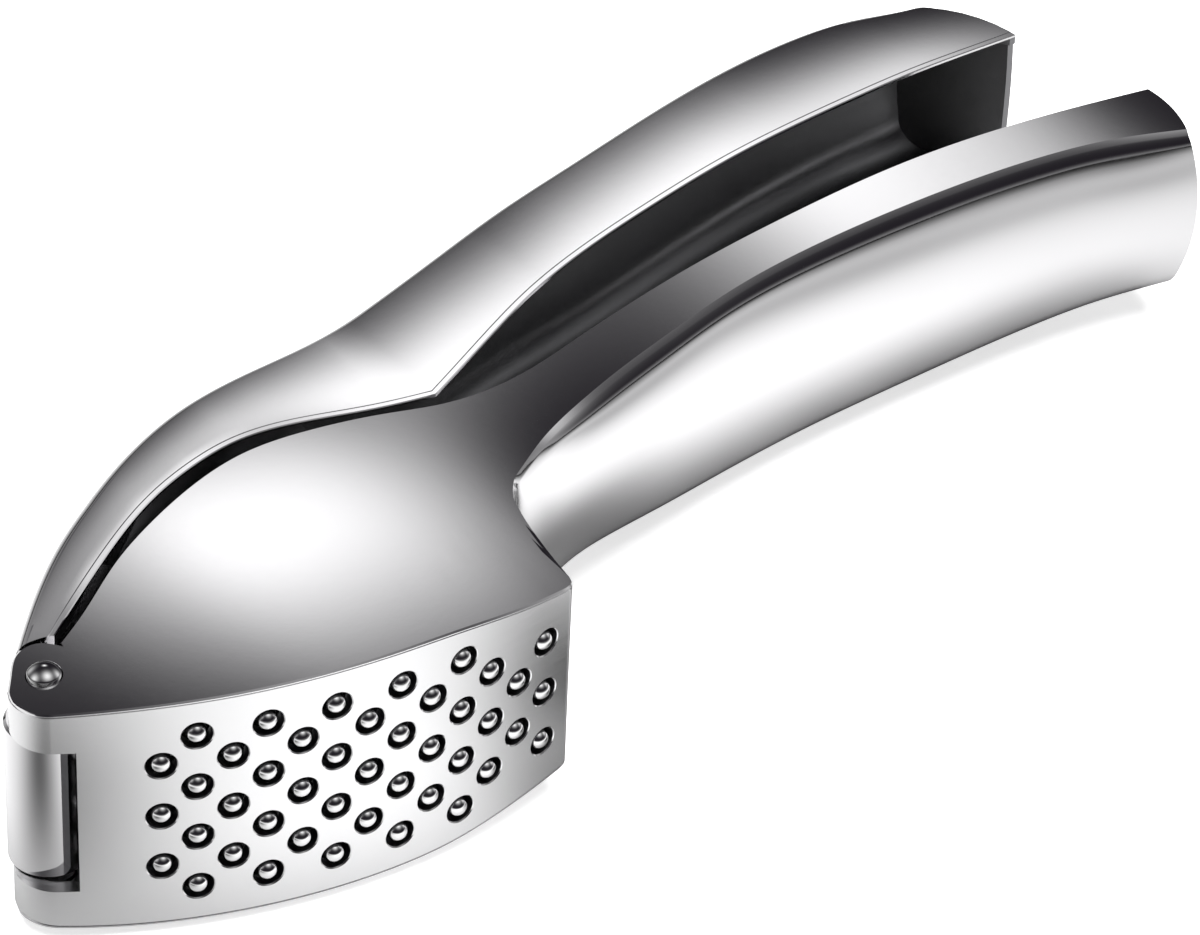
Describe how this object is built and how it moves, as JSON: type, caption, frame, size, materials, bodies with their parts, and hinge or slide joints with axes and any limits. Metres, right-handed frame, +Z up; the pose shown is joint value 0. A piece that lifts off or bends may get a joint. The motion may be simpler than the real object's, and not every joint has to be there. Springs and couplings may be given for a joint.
{
  "type": "garlic press",
  "caption": "Polished metal garlic press, closed and lying on its side, with a curved perforated press face and self-cleaning studs.",
  "frame": {"origin": "centre of the closed press's bounding box, on the surface it lies on", "axes": "+X from the hinge nose to the handle ends, +Y from the press face to the lever, +Z up along the hinge pin"},
  "size_m": [0.1666, 0.07, 0.031],
  "materials": {
    "polished_chrome": "mirror polished",
    "satin_steel": "fine satin",
    "plunger_chrome": "polished",
    "pin_steel": "polished",
    "washer_steel": "plain"
  },
  "bodies": {
    "press_body_fixed": {"press_body": "polished_chrome", "sieve_insert": "satin_steel", "hinge_pin": "pin_steel", "hinge_washer_upper": "washer_steel", "hinge_washer_lower": "washer_steel"},
    "lever": {"lever_arm": "polished_chrome", "plunger": "plunger_chrome", "plunger_dowel_front": "pin_steel", "plunger_dowel_rear": "pin_steel"}
  },
  "joints": [
    {"name": "lever_hinge", "type": "hinge", "parent": "press_body_fixed", "child": "lever", "pos_m": [-0.07908, -0.01685, 0.0155], "axis": [0, 0, 1], "range_deg": [0, 105]}
  ]
}
